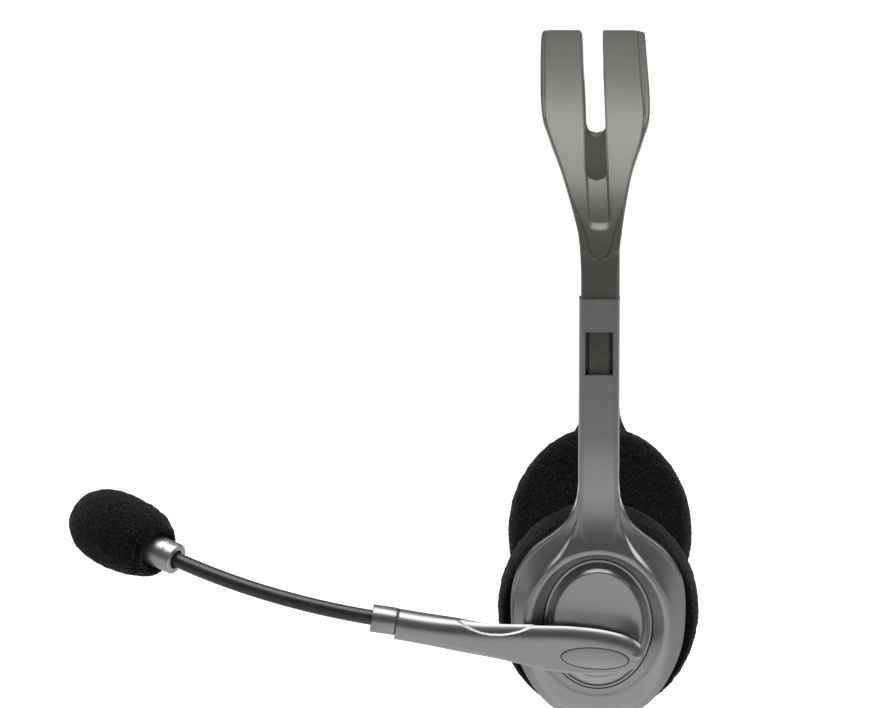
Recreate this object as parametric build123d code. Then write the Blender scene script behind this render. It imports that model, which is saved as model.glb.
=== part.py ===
from build123d import *

import os
from math import cos, radians, sin, tan

# Office headset. Millimetres and degrees.
# +Z is up, the wearer faces -X, the left side is -Y, and the origin is midway between the ear pads.

# ---- Driving dimensions: cups ---------------------------------------------------------------
PAD_SPREAD = 58.0          # from the origin to the middle of each ear pad
CUP_TILT = 16.0            # the cups' lower edges are toed in
PAD_RX, PAD_RY = 28.0, 32.3
PAD_HALF = 6.0             # half of the pad's thickness
PAD_POCKET = 1.7           # depth at which the pad's pocket has its floor
PAD_EDGE_R = 5.0
SHELL_BACK = 6.3           # the cup shell's open side
SHELL_FACE = 8.0           # outer face of the shell's rim and of the arm
CREST = 12.0               # top of the raised ring
CREST_RX, CREST_RY, CREST_W = 20.8, 25.5, 0.5
DISH_RX, DISH_RY = 18.3, 23.0
DISH_FLOOR = 9.7
DISC_RX, DISC_RY = 14.9, 20.0
DISC_W = 0.4
PLATEAU_RX, PLATEAU_RY = 12.3, 17.2
CAVITY_RX, CAVITY_RY, CAVITY_TOP = 21.4, 27.0, 8.2
NECK_RX, NECK_RY, NECK_WALL = 21.2, 26.8, 1.5
FLANGE_RX, FLANGE_RY = 25.0, 29.5
BAFFLE_FRONT, BAFFLE_BACK = 1.9, 3.7
SCREW_W = 22.0             # baffle screws, above and below the driver
DRIVER_R = 18.0

# ---- Driving dimensions: arms and sliders ---------------------------------------------------
SLIDE_TILT = 3.0
MOUTH_U, MOUTH_Z = 81.2, 90.4   # outer face of the arm at its mouth, outward and up
ARM_HALF_WIDTH = 5.6
ARM_DEPTH = 6.2
ARM_WALL = 1.5
ARM_BEND_R = 70.0          # the outer face's bend from the cup's tilt to the slider's
CHANNEL_HALF = 4.3
CHANNEL_LENGTH = 39.5
COVER_THICK = 1.4
COVER_LENGTH = 46.5
COVER_SCREW = CHANNEL_LENGTH + 3.5   # from the mouth down to the cover's screw
SLIDE_CLEARANCE = 0.3
WINDOW_TOP, WINDOW_HEIGHT, WINDOW_HALF = 9.0, 12.0, 3.8
TONGUE_LENGTH = 37.5
RIB_HALF = 3.05
NOTCH_COUNT, NOTCH_PITCH, NOTCH_R = 5, 4.0, 0.35
SPRING_HALF, SPRING_LEAF = 1.6, 0.25
SPRING_ENDS = (-29.8, -12.2)    # along the arm, below the mouth
SPRING_HUMP = (-24.0, -16.0)

# Half-width and height up the cup, from the arm down to the shell's lower edge.
SHELL_EDGE = [
    (5.6, 44), (5.7, 39), (7.6, 32.8), (12.4, 27.2), (18.9, 21.5),
    (23.4, 13), (24.4, 2), (22.9, -10), (17.3, -22), (9.5, -29.3),
]
SHELL_FOOT_W = -31.8

# ---- Driving dimensions: headband -----------------------------------------------------------
BAND_TOP = 157.9
# Half-width and height of the band, from the leg to the crown.
BAND_EDGE = [(5.05, 88), (5.2, 100), (6.2, 110), (9.4, 124), (12.9, 134), (14.8, 141.5), (14.6, 160)]
BAND_THICK = 3.2
BAND_INSET = 1.3           # the band's outer face stands this far inside the arm's face
SIDE_ARC_TURN = 40.0       # the arch is a tight arc at each side and a flatter one over the crown
CROWN_LEAN = 3.0           # the crown stands forward of the legs
CROWN_GAP = 0.1            # half of the gap between the band's two halves
SLOT_END_Z = 122.7
SLOT_HALF, SLOT_HALF_TOP = 2.9, 3.25
RECESS_END_Z = 108.9
RECESS_HALF, RECESS_DEPTH = 3.1, 1.0

# ---- Driving dimensions: boom and microphone ------------------------------------------------
PIVOT_X, PIVOT_W = -0.75, -4.95
BOOM_RISE = 9.1            # the boom's slope above the horizontal of the cup
BOOM_BACK, BOOM_SPLIT, BOOM_FACE = 12.8, 16.5, 20.7
BOOM_WALL = 1.4
BOOM_STEP = 0.9
ROOT_END = 13.0
BOOM_JOINT = 55.8          # from the pivot to the sleeve
SLEEVE_END = 62.8
SLEEVE_R = 3.85
BOOM_AXIS_N = 17.0
NECK_OFFSET = 0.42
NECK_RISE = 1.0
NECK_LENGTH = 58.8
NECK_TURN = 30.0           # the gooseneck's bend towards the mouth
NECK_R = 2.1
NECK_JOINTS = 8
NECK_CONE = 10.5           # slope of each link's ends
NECK_TIP_GAP = 0.05
COLLAR_R, COLLAR_LENGTH = 4.4, 12.0
FOAM_START, FOAM_LENGTH, FOAM_R = 5.0, 30.4, 10.9
HOLDER_R, HOLDER_LENGTH = 3.9, 9.0
CAPSULE_R, CAPSULE_LENGTH = 3.0, 3.2

# ---- Frames ---------------------------------------------------------------------------------
T = radians(CUP_TILT)
S = radians(SLIDE_TILT)
CUP = Plane(origin=(0, -PAD_SPREAD, 0), x_dir=(1, 0, 0), z_dir=(0, -cos(T), -sin(T))).location
SIDE = Plane(origin=(0, 0, 0), x_dir=(0, -1, 0), z_dir=(-1, 0, 0))
MOUTH = Plane(origin=(0, -MOUTH_U, MOUTH_Z), x_dir=(1, 0, 0), z_dir=(0, -cos(S), -sin(S))).location
BOOM = CUP * Pos(PIVOT_X, PIVOT_W, 0) * Rot(0, 0, -BOOM_RISE)

os.makedirs("parts", exist_ok=True)


def save(shape, node):
    export_step(shape, f"parts/{node}.step")


def save_pair(shape, node):
    save(shape, f"left_{node}")
    save(mirror(shape, about=Plane.XZ), f"right_{node}")


def oval(rx, ry, low, high, w=0.0, x=0.0):
    return extrude(Pos(x, w, low) * Ellipse(rx, ry), amount=high - low)


def oval_taper(rx, ry, low, rx_high, ry_high, high, w=0.0, w_high=0.0):
    return loft([Pos(0, w, low) * Ellipse(rx, ry), Pos(0, w_high, high) * Ellipse(rx_high, ry_high)])


def round_bar(radius, low, high, x=0.0, y=0.0):
    return extrude(Pos(x, y, low) * Circle(radius), amount=high - low)


def block(x0, x1, y0, y1, z0, z1):
    size = (x1 - x0, y1 - y0, z1 - z0)
    middle = ((x0 + x1) / 2, (y0 + y1) / 2, (z0 + z1) / 2)
    return Pos(*middle) * Box(*size)


def turned(points):
    """A solid of revolution about Z from (radius, z) points."""
    outline = make_face(Polyline(*[(r, 0, z) for r, z in points], close=True))
    return revolve(outline, axis=Axis.Z, revolution_arc=360)


def cup_point(w, n):
    """Outward and upward position of a point on the cup's middle plane."""
    return (PAD_SPREAD + w * sin(T) + n * cos(T), w * cos(T) - n * sin(T))


def arm_point(along, depth):
    """Outward and upward position of a point on the arm, measured down and in from its mouth."""
    return (
        MOUTH_U - along * sin(S) - depth * cos(S),
        MOUTH_Z - along * cos(S) + depth * sin(S),
    )


# ---- Headband -------------------------------------------------------------------------------
def arch_radii(u0, z0):
    """Radii of the side arc and the crown arc that lead from the leg to the crown."""
    middle = S - radians(SIDE_ARC_TURN)
    a11, a12 = cos(S) - cos(middle), cos(middle)
    a21, a22 = sin(S) - sin(middle), 1 + sin(middle)
    rise = BAND_TOP - z0
    det = a11 * a22 - a12 * a21
    return (u0 * a22 - a12 * rise) / det, (a11 * rise - a21 * u0) / det


def arch_line(inset):
    """The band's side line, from the arm's mouth to the crown, a distance inside its outer face."""
    start = arm_point(0, BAND_INSET + inset)
    knee = arm_point(-2, BAND_INSET + inset)
    side_r, crown_r = arch_radii(*arm_point(-2, BAND_INSET))
    leg = Line(start, knee)
    side = JernArc(knee, (sin(S), cos(S)), side_r - inset, SIDE_ARC_TURN)
    crown = JernArc(side @ 1, side % 1, crown_r - inset, 90 + SLIDE_TILT - SIDE_ARC_TURN)
    return [leg, side, crown]


def arch_strip(outer, inner):
    """A curved plate across the whole width, between two insets from the band's outer face."""
    lines = arch_line(outer) + arch_line(inner)
    ends = [Line(lines[0] @ 0, lines[3] @ 0), Line(lines[2] @ 1, lines[5] @ 1)]
    return extrude(SIDE * make_face(Curve() + lines + ends), amount=20, both=True)


def lean(z):
    """Forward offset of the band's centre line at a height."""
    rise = max(0.0, (z - RECESS_END_Z) / (BAND_TOP - RECESS_END_Z))
    return -CROWN_LEAN * rise


def front_prism(points_half, low_end):
    """A prism along Y from half-widths up the band, closed across the bottom."""
    edges = []
    for side in (-1, 1):
        path = [(lean(z) + side * half, z) for half, z in points_half]
        edges.append(Spline(*path))
    foot = low_end(edges[0] @ 0, edges[1] @ 0)
    head = Line(edges[0] @ 1, edges[1] @ 1)
    return extrude(Plane.XZ * make_face(Curve() + edges + [foot, head]), amount=100)


def headband_half():
    band = arch_strip(0, BAND_THICK) & front_prism(BAND_EDGE, Line)
    slot = front_prism([(SLOT_HALF, SLOT_END_Z + SLOT_HALF), (SLOT_HALF_TOP, 160)], slot_foot)
    recess_ends = [(RECESS_HALF, RECESS_END_Z + RECESS_HALF), (RECESS_HALF, SLOT_END_Z + 3)]
    recess = front_prism(recess_ends, slot_foot)
    band = band - slot - (arch_strip(0, RECESS_DEPTH) & recess)
    band = band - block(-20, 20, -CROWN_GAP, 20, 100, 200)
    inner = -BAND_INSET - BAND_THICK
    outer = -ARM_WALL - SLIDE_CLEARANCE
    rib = MOUTH * block(-RIB_HALF, RIB_HALF, -TONGUE_LENGTH, 0.1, inner, outer)
    flange_half = CHANNEL_HALF - SLIDE_CLEARANCE
    flange = MOUTH * block(-flange_half, flange_half, -TONGUE_LENGTH, 0.1, inner, inner + 1.4)
    tongue = rib + flange
    for notch in range(NOTCH_COUNT):
        along = -TONGUE_LENGTH + (notch + 1) * NOTCH_PITCH
        tongue -= MOUTH * Pos(0, along, inner) * Rot(0, 90, 0) * Cylinder(NOTCH_R, 20)
    return band + tongue


def slot_foot(left, right):
    """The half-round lower end of the slot and of the recess."""
    half = (right.X - left.X) / 2
    return ThreePointArc(left, ((left.X + right.X) / 2, left.Y - half), right)


# ---- Cup shells and arms --------------------------------------------------------------------
def shell_outline():
    """The cup shell seen square on: an oval whose shoulders sweep up into the arm."""
    other_side = [(-x, w) for x, w in reversed(SHELL_EDGE)]
    edge = Spline(*SHELL_EDGE, (0, SHELL_FOOT_W), *other_side)
    return make_face(Curve() + [edge, Line(edge @ 1, edge @ 0)])


def arm_blank():
    """The arm's solid blank: bent from the cup's tilt to the slider's, with a straight upper part."""
    mouth_out, mouth_in = arm_point(0, 0), arm_point(0, ARM_DEPTH)
    low_out, low_in = cup_point(22, SHELL_FACE), cup_point(22, SHELL_BACK + 0.1)
    bend_in = arm_point(CHANNEL_LENGTH + 1, ARM_DEPTH)
    # Where the outer face's two straight stretches meet.
    run = mouth_out[0] - low_out[0] - (mouth_out[1] - low_out[1]) * tan(S)
    bend_z = low_out[1] + run / (tan(T) - tan(S))
    bend_out = (low_out[0] + (bend_z - low_out[1]) * tan(T), bend_z)
    path = FilletPolyline(low_out, bend_out, mouth_out, radius=ARM_BEND_R)
    back = Polyline(mouth_out, mouth_in, bend_in, cup_point(27, SHELL_BACK + 0.1), low_in, low_out)
    profile = SIDE * make_face(Curve() + [path, back])
    return extrude(profile, amount=ARM_HALF_WIDTH, both=True)


def arm_shell(with_boom):
    plate = extrude(Pos(0, 0, SHELL_BACK) * shell_outline(), amount=SHELL_FACE - SHELL_BACK)
    dome = oval_taper(23.4, 29.4, SHELL_BACK, CREST_RX, CREST_RY, CREST, -1.6, CREST_W)
    dish = oval_taper(DISC_RX + 0.4, DISC_RY + 0.4, DISH_FLOOR, DISH_RX, DISH_RY, CREST + 0.01,
                      DISC_W, CREST_W)
    shell = CUP * (plate + dome - dish) + arm_blank()
    shell -= CUP * oval(CAVITY_RX, CAVITY_RY, SHELL_BACK - 1, CAVITY_TOP, -0.6)
    for w in (-SCREW_W, SCREW_W):
        shell += CUP * round_bar(2.2, BAFFLE_BACK, CAVITY_TOP, 0, w)
        shell -= CUP * round_bar(0.8, BAFFLE_BACK - 1, CAVITY_TOP - 0.3, 0, w)
    if with_boom:
        shell += CUP * round_bar(3.6, CAVITY_TOP, BOOM_BACK - 0.3, PIVOT_X, PIVOT_W)
        shell -= CUP * round_bar(1.62, CAVITY_TOP + 0.4, BOOM_BACK, PIVOT_X, PIVOT_W)
    shell -= CUP * cord_inlet(2.02)
    shell -= MOUTH * block(-CHANNEL_HALF, CHANNEL_HALF, -CHANNEL_LENGTH, 1, -ARM_DEPTH - 5, -ARM_WALL)
    shell -= MOUTH * block(-CHANNEL_HALF, CHANNEL_HALF, -COVER_LENGTH, 1, -ARM_DEPTH - 5,
                           -ARM_DEPTH + COVER_THICK)
    shell -= MOUTH * block(-WINDOW_HALF, WINDOW_HALF, -WINDOW_TOP - WINDOW_HEIGHT, -WINDOW_TOP,
                           -ARM_WALL - 1, 1)
    shell -= MOUTH * Pos(0, -COVER_SCREW, 0) * round_bar(0.82, -ARM_DEPTH, -ARM_WALL)
    return shell


def cord_inlet(radius):
    """A bar along the cord's way into the lower edge of the cup."""
    return Pos(0, -24.0, 6.0) * Rot(90, 0, 0) * Cylinder(radius, 20)


def arm_back_cover():
    cover = block(-CHANNEL_HALF + 0.05, CHANNEL_HALF - 0.05, -COVER_LENGTH + 0.05, 0,
                  -ARM_DEPTH, -ARM_DEPTH + COVER_THICK)
    cover -= block(-1.8, 1.8, -30, -12, -ARM_DEPTH + 0.6, -ARM_DEPTH + COVER_THICK + 1)
    cover -= Pos(0, -COVER_SCREW, 0) * round_bar(0.9, -ARM_DEPTH - 1, 0)
    cover -= Pos(0, -COVER_SCREW, 0) * round_bar(1.7, -ARM_DEPTH - 1, -ARM_DEPTH + 0.7)
    return MOUTH * cover


def cover_screw():
    head = round_bar(1.65, -ARM_DEPTH, -ARM_DEPTH + 0.7)
    head -= block(-1.2, 1.2, -0.15, 0.15, -ARM_DEPTH - 1, -ARM_DEPTH + 0.3)
    shank = round_bar(0.8, -ARM_DEPTH, -ARM_WALL - 0.3)
    return MOUTH * Pos(0, -COVER_SCREW, 0) * (head + shank)


def detent_spring():
    """A leaf in the cover's pocket whose hump bears on the tongue's notches."""
    low = -ARM_DEPTH + 0.6
    middle, high = low + SPRING_LEAF, low + 2 * SPRING_LEAF
    foot_end, tail_end = SPRING_ENDS
    hump_start, hump_end = SPRING_HUMP
    half = SPRING_HALF
    spring = block(-half, half, foot_end, hump_start, low, middle)
    spring += block(-half, half, hump_start, hump_end, middle, high)
    spring += block(-half, half, hump_end, tail_end, low, middle)
    spring += block(-half, half, hump_start - SPRING_LEAF, hump_start, low, high)
    spring += block(-half, half, hump_end, hump_end + SPRING_LEAF, low, high)
    return MOUTH * spring


# ---- Inside each cup ------------------------------------------------------------------------
def trim_disc(with_boom):
    disc = oval(DISC_RX, DISC_RY, DISH_FLOOR, DISH_FLOOR + 0.5, DISC_W)
    disc += oval_taper(DISC_RX - 1.2, DISC_RY - 1.2, DISH_FLOOR + 0.5, PLATEAU_RX, PLATEAU_RY, 11.1,
                       DISC_W, DISC_W)
    if with_boom:
        disc -= round_bar(3.8, DISH_FLOOR - 1, CREST, PIVOT_X, PIVOT_W)
    return disc


def baffle():
    plate = oval(FLANGE_RX, FLANGE_RY, BAFFLE_FRONT, BAFFLE_BACK, -0.6)
    plate += oval(NECK_RX, NECK_RY, BAFFLE_BACK, CAVITY_TOP - 0.1, -0.6)
    plate -= oval(NECK_RX - NECK_WALL, NECK_RY - NECK_WALL, BAFFLE_BACK, CAVITY_TOP, -0.6)
    for ring, count in ((0.0, 1), (4.2, 6), (8.4, 12)):
        for hole in PolarLocations(ring, count):
            plate -= hole * Pos(0, 0, BAFFLE_FRONT) * Cylinder(1.0, 6)
    for w in (-SCREW_W, SCREW_W):
        plate -= round_bar(0.85, BAFFLE_FRONT - 1, BAFFLE_BACK + 1, 0, w)
        plate -= round_bar(2.0, BAFFLE_FRONT - 1, BAFFLE_FRONT + 0.9, 0, w)
    return plate - cord_inlet(2.02)


def baffle_screws():
    group = []
    for w in (-SCREW_W, SCREW_W):
        screw = round_bar(1.9, BAFFLE_FRONT + 0.1, BAFFLE_FRONT + 0.9, 0, w)
        screw += round_bar(0.78, BAFFLE_FRONT + 0.1, CAVITY_TOP - 0.5, 0, w)
        screw -= block(-1.4, 1.4, w - 0.2, w + 0.2, BAFFLE_FRONT - 1, BAFFLE_FRONT + 0.5)
        group.append(screw)
    return Compound(children=group)


def driver_frame():
    return turned([(16.6, BAFFLE_BACK), (DRIVER_R, BAFFLE_BACK), (DRIVER_R, 5.6), (14, 6.2),
                   (8.25, 6.2), (8.25, 5.5), (13.6, 5.5), (16.6, 5.0)])


def driver_magnet():
    return turned([(0, 4.9), (7.2, 4.9), (7.2, 5.4), (8.2, 5.4), (8.2, 7.4), (7.7, 7.8), (0, 7.8)])


def driver_diaphragm():
    return turned([(0, 4.55), (3.5, 4.4), (7, 3.9), (11, 4.3), (16.5, 3.9), (16.5, 4.05),
                   (11, 4.45), (7, 4.05), (3.5, 4.55), (0, 4.7)])


def acoustic_cloth():
    return round_bar(15.5, PAD_POCKET, BAFFLE_FRONT)


def felt_damper():
    return round_bar(13.8, 6.2, 6.7) - round_bar(8.6, 6, 7)


def terminal_board():
    board = block(-4, 4, -18, -11, 6.8, 7.5)
    for x in (-2.4, 0, 2.4):
        board += Pos(x, -16, 7.5) * Cylinder(0.7, 0.6, align=(Align.CENTER, Align.CENTER, Align.MIN))
    return board


def cord_grommet():
    """A flanged bush for the cord in the lower edge of the cup."""
    bush = Pos(0, -28.6, 6.0) * Rot(90, 0, 0) * Cylinder(2.0, 7.4)
    bush += Pos(0, -33.3, 6.0) * Rot(90, 0, 0) * Cylinder(2.6, 2.2)
    return bush - Pos(0, -29, 6.0) * Rot(90, 0, 0) * Cylinder(1.1, 20)


def ear_pad():
    pad = oval(PAD_RX, PAD_RY, -PAD_HALF, PAD_HALF)
    pad = fillet(pad.edges(), PAD_EDGE_R)
    pad -= oval(FLANGE_RX + 0.1, FLANGE_RY + 0.1, PAD_POCKET, BAFFLE_BACK + 0.1, -0.6)
    pad -= oval(NECK_RX + 0.15, NECK_RY + 0.15, PAD_POCKET, PAD_HALF + 1, -0.6)
    return pad - cord_inlet(2.1) - Pos(0, -33.3, 6.0) * Rot(90, 0, 0) * Cylinder(2.8, 3)


# ---- Gooseneck centre line ------------------------------------------------------------------
NECK_START = Vector(-BOOM_JOINT + 3.5, NECK_OFFSET - 0.12, BOOM_AXIS_N)
NECK_PITCH = NECK_LENGTH / NECK_JOINTS


def neck_point(distance):
    """A point on the gooseneck's centre line, by its distance from the sleeve's end."""
    bend = radians(NECK_TURN) / NECK_LENGTH
    along = sin(bend * distance) / bend
    rise = radians(NECK_RISE)
    return Vector(-SLEEVE_END - along * cos(rise), NECK_OFFSET + along * sin(rise),
                  BOOM_AXIS_N - (1 - cos(bend * distance)) / bend)


def neck_joint(index):
    return neck_point(NECK_PITCH * (index + 0.5))


def neck_frame(start, end):
    return Plane(origin=start, z_dir=end - start).location


# ---- Boom -----------------------------------------------------------------------------------
def boom_outline(inset=0.0):
    """The boom seen square on, from its joint with the sleeve to its rounded root."""
    top = [(-BOOM_JOINT, 4.1), (-38.4, 4.0), (-27, 4.7), (-16.9, 6.1), (-8, 7.15), (0, 7.7),
           (6.5, 6.9), (11.2, 4.5)]
    low = [(11.8, -2.6), (6.7, -5.9), (0, -7.5), (-5, -7.55), (-14, -7.0), (-25.7, -5.9),
           (-38, -5.3), (-BOOM_JOINT, -4.5)]
    root = (ROOT_END - inset, 0.6)
    squeeze = 1 - inset / ROOT_END
    top = [(x * squeeze if x > 0 else x, y - inset) for x, y in top]
    low = [(x * squeeze if x > 0 else x, y + inset) for x, y in low]
    upper, lower = Spline(*top, root), Spline(root, *low)
    return make_face(Curve() + [upper, lower, Line(lower @ 1, upper @ 0)])


def boom_half(low, high, hollow_low, hollow_high):
    """One half of the boom, with its outer edge stepped in all round."""
    body = extrude(Pos(0, 0, low) * boom_outline(BOOM_STEP), amount=high - low)
    step_low = max(low, BOOM_BACK + BOOM_STEP)
    step_high = min(high, BOOM_FACE - BOOM_STEP)
    body += extrude(Pos(0, 0, step_low) * boom_outline(), amount=step_high - step_low)
    hollow = extrude(Pos(0, 0, hollow_low) * boom_outline(BOOM_WALL), amount=hollow_high - hollow_low)
    return body - hollow


def boom_outer_shell():
    body = boom_half(BOOM_SPLIT, BOOM_FACE, BOOM_SPLIT - 1, BOOM_FACE - BOOM_WALL)
    body -= Rot(0, 0, 5.5) * oval(9.6, 3.45, BOOM_FACE - 0.7, BOOM_FACE + 1)
    return body - sleeve_bar(SLEEVE_R - 1.1, BOOM_JOINT - 4)


def boom_inner_shell():
    body = boom_half(BOOM_BACK, BOOM_SPLIT, BOOM_BACK + BOOM_WALL, BOOM_SPLIT + 1)
    body -= round_bar(1.65, BOOM_BACK - 1, BOOM_SPLIT)
    return body - sleeve_bar(SLEEVE_R - 1.1, BOOM_JOINT - 4)


def sleeve_bar(radius, start, end=SLEEVE_END):
    """A bar along the sleeve's axis, between two distances from the pivot."""
    length = end - start
    middle = Pos(-start - length / 2, NECK_OFFSET - 0.12, BOOM_AXIS_N)
    return middle * Rot(0, 90, 0) * Cylinder(radius, length)


def boom_badge():
    return Rot(0, 0, 5.5) * oval(9.45, 3.3, BOOM_FACE - 0.7, BOOM_FACE)


def boom_pivot_screw():
    screw = round_bar(1.6, CAVITY_TOP + 0.6, BOOM_BACK + 1.85) + round_bar(3.3, 14.65, 16.1)
    return screw - block(-2.6, 2.6, -0.35, 0.35, 15.4, 17)


def boom_friction_washer():
    return round_bar(3.3, 14.27, 14.65) - round_bar(1.75, 14, 15)


def boom_end_sleeve():
    sleeve = sleeve_bar(SLEEVE_R, BOOM_JOINT) + sleeve_bar(SLEEVE_R - 1.2, BOOM_JOINT - 3.8)
    return sleeve - neck_frame(NECK_START, neck_joint(0)) * round_bar(NECK_R + 0.02, -2, 20)


# ---- Gooseneck and microphone ---------------------------------------------------------------
def neck_bar(length, low_cone, high_cone):
    """A round bar whose ends are cones where they meet a joint, and flat elsewhere."""
    slope = NECK_R * tan(radians(NECK_CONE))
    low = [(0, NECK_TIP_GAP), (NECK_R, NECK_TIP_GAP + slope)] if low_cone else [(0, 0), (NECK_R, 0)]
    high = length - NECK_TIP_GAP
    top = [(NECK_R, high - slope), (0, high)] if high_cone else [(NECK_R, length), (0, length)]
    return turned(low + top)


def gooseneck():
    joints = [neck_joint(i) for i in range(NECK_JOINTS)]
    root = neck_bar((joints[0] - NECK_START).length, False, True)
    save(BOOM * neck_frame(NECK_START, joints[0]) * root, "gooseneck_root")
    for i, (start, end) in enumerate(zip(joints, joints[1:])):
        link = neck_bar((end - start).length, True, True)
        save(BOOM * neck_frame(start, end) * link, f"gooseneck_link_{i + 1}")
    tip = neck_point(NECK_LENGTH + 5)
    end = neck_bar((tip - joints[-1]).length, True, False)
    save(BOOM * neck_frame(joints[-1], tip) * end, "gooseneck_tip")


def mic_frame():
    """Z runs along the microphone, from the collar's open end."""
    return BOOM * neck_frame(neck_point(NECK_LENGTH), neck_point(NECK_LENGTH + 0.1))


def mic_collar():
    outside = [(2.3, 2.0), (3.3, 2.0), (3.3, 0), (4.1, 0), (COLLAR_R, 0.4), (COLLAR_R, COLLAR_LENGTH)]
    bore = [(HOLDER_R - 0.6, COLLAR_LENGTH), (HOLDER_R - 0.6, 6), (2.3, 6)]
    return turned(outside + bore)


def capsule_holder():
    end = COLLAR_LENGTH + HOLDER_LENGTH
    seat = end - CAPSULE_LENGTH
    outside = [(2.0, 7), (3.25, 7), (3.25, COLLAR_LENGTH), (HOLDER_R, COLLAR_LENGTH), (HOLDER_R, end)]
    bore = [(CAPSULE_R + 0.02, end), (CAPSULE_R + 0.02, seat), (2.0, seat)]
    return turned(outside + bore)


def mic_capsule():
    end = COLLAR_LENGTH + HOLDER_LENGTH
    can = round_bar(CAPSULE_R, end - CAPSULE_LENGTH, end)
    return can - round_bar(0.6, end - 0.5, end + 1)


def capsule_felt():
    end = COLLAR_LENGTH + HOLDER_LENGTH
    return round_bar(CAPSULE_R, end, end + 0.5)


def mic_windscreen():
    """A foam egg, blunt where it grips the collar, with a bore for the collar and the holder."""
    edge = [(4.9, 0), (6.6, 0.9), (9.3, 4.2), (10.4, 9.5), (FOAM_R, 16), (9.9, 22.5), (7.4, 27),
            (3.9, 29.6), (0, FOAM_LENGTH)]
    outer = Spline(*[(radius, FOAM_START + along) for radius, along in edge])
    floor = COLLAR_LENGTH + HOLDER_LENGTH + 0.7
    shoulder = COLLAR_LENGTH + 0.05
    bore = Polyline(
        outer @ 1,
        (0, floor),
        (HOLDER_R + 0.05, floor),
        (HOLDER_R + 0.05, shoulder),
        (COLLAR_R + 0.05, shoulder),
        (COLLAR_R + 0.05, FOAM_START),
        outer @ 0,
    )
    profile = Plane.XZ * make_face(Curve() + [outer, bore])
    return revolve(profile, axis=Axis.Z, revolution_arc=360)


# ---- Write every part -----------------------------------------------------------------------
save_pair(headband_half(), "headband_half")
save(arm_shell(True), "left_arm_shell")
save(mirror(arm_shell(False), about=Plane.XZ), "right_arm_shell")
save(CUP * trim_disc(True), "left_trim_disc")
save(mirror(CUP * trim_disc(False), about=Plane.XZ), "right_trim_disc")
save_pair(arm_back_cover(), "arm_back_cover")
save_pair(cover_screw(), "arm_cover_screw")
save_pair(detent_spring(), "detent_spring")
for make in (baffle, baffle_screws, driver_frame, driver_magnet, driver_diaphragm, acoustic_cloth,
             felt_damper, terminal_board, cord_grommet, ear_pad):
    save_pair(CUP * make(), make.__name__)
for make in (boom_outer_shell, boom_inner_shell, boom_badge, boom_pivot_screw, boom_friction_washer,
             boom_end_sleeve):
    save(BOOM * make(), make.__name__)
gooseneck()
for make in (mic_collar, capsule_holder, mic_capsule, capsule_felt, mic_windscreen):
    save(mic_frame() * make(), make.__name__)
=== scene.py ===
from math import atan2, cos, hypot, pi, radians, sin, sqrt, tan

import bmesh
import bpy
import numpy as np
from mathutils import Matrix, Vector, noise


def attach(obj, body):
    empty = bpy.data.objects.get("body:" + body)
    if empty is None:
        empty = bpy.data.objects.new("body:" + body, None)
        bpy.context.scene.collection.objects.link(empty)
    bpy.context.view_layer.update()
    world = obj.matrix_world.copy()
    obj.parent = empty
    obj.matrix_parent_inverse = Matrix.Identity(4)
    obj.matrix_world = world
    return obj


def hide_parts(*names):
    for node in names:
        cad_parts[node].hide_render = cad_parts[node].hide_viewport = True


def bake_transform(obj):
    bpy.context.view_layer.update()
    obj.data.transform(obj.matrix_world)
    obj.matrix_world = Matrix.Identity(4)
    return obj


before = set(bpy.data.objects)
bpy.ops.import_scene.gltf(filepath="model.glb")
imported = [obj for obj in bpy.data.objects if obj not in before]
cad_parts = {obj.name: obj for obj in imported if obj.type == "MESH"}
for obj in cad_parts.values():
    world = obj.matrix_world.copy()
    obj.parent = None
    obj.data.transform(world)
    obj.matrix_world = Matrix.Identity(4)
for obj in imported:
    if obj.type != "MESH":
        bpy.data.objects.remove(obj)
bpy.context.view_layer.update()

# Everything is measured in millimetres here and becomes metres where a mesh is made.
MM = 0.001
scene = bpy.context.scene

# ---- Dimensions shared with the frame ----
TILT, SLIDE = radians(16), radians(3)
PAD_SPREAD = 58.0
MOUTH_U, MOUTH_Z = 81.2, 90.4
BAND_INSET, BAND_THICK, BAND_TOP = 1.3, 3.2, 157.9
SIDE_TURN = radians(40)
PIVOT_X, PIVOT_W, BOOM_RISE = -0.75, -4.95, radians(9.1)
AXIS_N, NECK_OFFSET, NECK_LENGTH, NECK_TURN = 17.0, 0.42, 58.8, radians(30)
SLEEVE_END, SLEEVE_DROP = 62.8, 0.12
BAND_STRAIGHT, LEAN_START, CROWN_LEAN = 2, 108.9, 3.0
ARM_HALF, ARM_ROLL, ARM_DEPTH, ARM_BEND_R = 5.6, 1.5, 6.2, 70
WINDOW_TOP, WINDOW_FOOT = 9.0, 21.0


# ---- Coordinates ----
def cup(x, w, n):
    """A point by its place on the left cup: forward to back, up the cup's face, and outward from it."""
    out = PAD_SPREAD + w * sin(TILT) + n * cos(TILT)
    return (x, -out, w * cos(TILT) - n * sin(TILT))


def arm(x, along, depth):
    """A point by its place on the straight part of the left arm, down and in from its mouth."""
    out = MOUTH_U - along * sin(SLIDE) - depth * cos(SLIDE)
    return (x, -out, MOUTH_Z - along * cos(SLIDE) + depth * sin(SLIDE))


def boom(x, y, n):
    """A point by its place on the boom: back from its pivot, up, and outward from the cup."""
    return cup(PIVOT_X + x * cos(BOOM_RISE) + y * sin(BOOM_RISE),
               PIVOT_W - x * sin(BOOM_RISE) + y * cos(BOOM_RISE), n)


def neck(distance):
    """A point on the gooseneck's centre line."""
    bend = NECK_TURN / NECK_LENGTH
    along = sin(bend * distance) / bend
    rise = radians(1)
    return np.array(boom(-SLEEVE_END - along * cos(rise), NECK_OFFSET + along * sin(rise),
                         AXIS_N - (1 - cos(bend * distance)) / bend))


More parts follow.
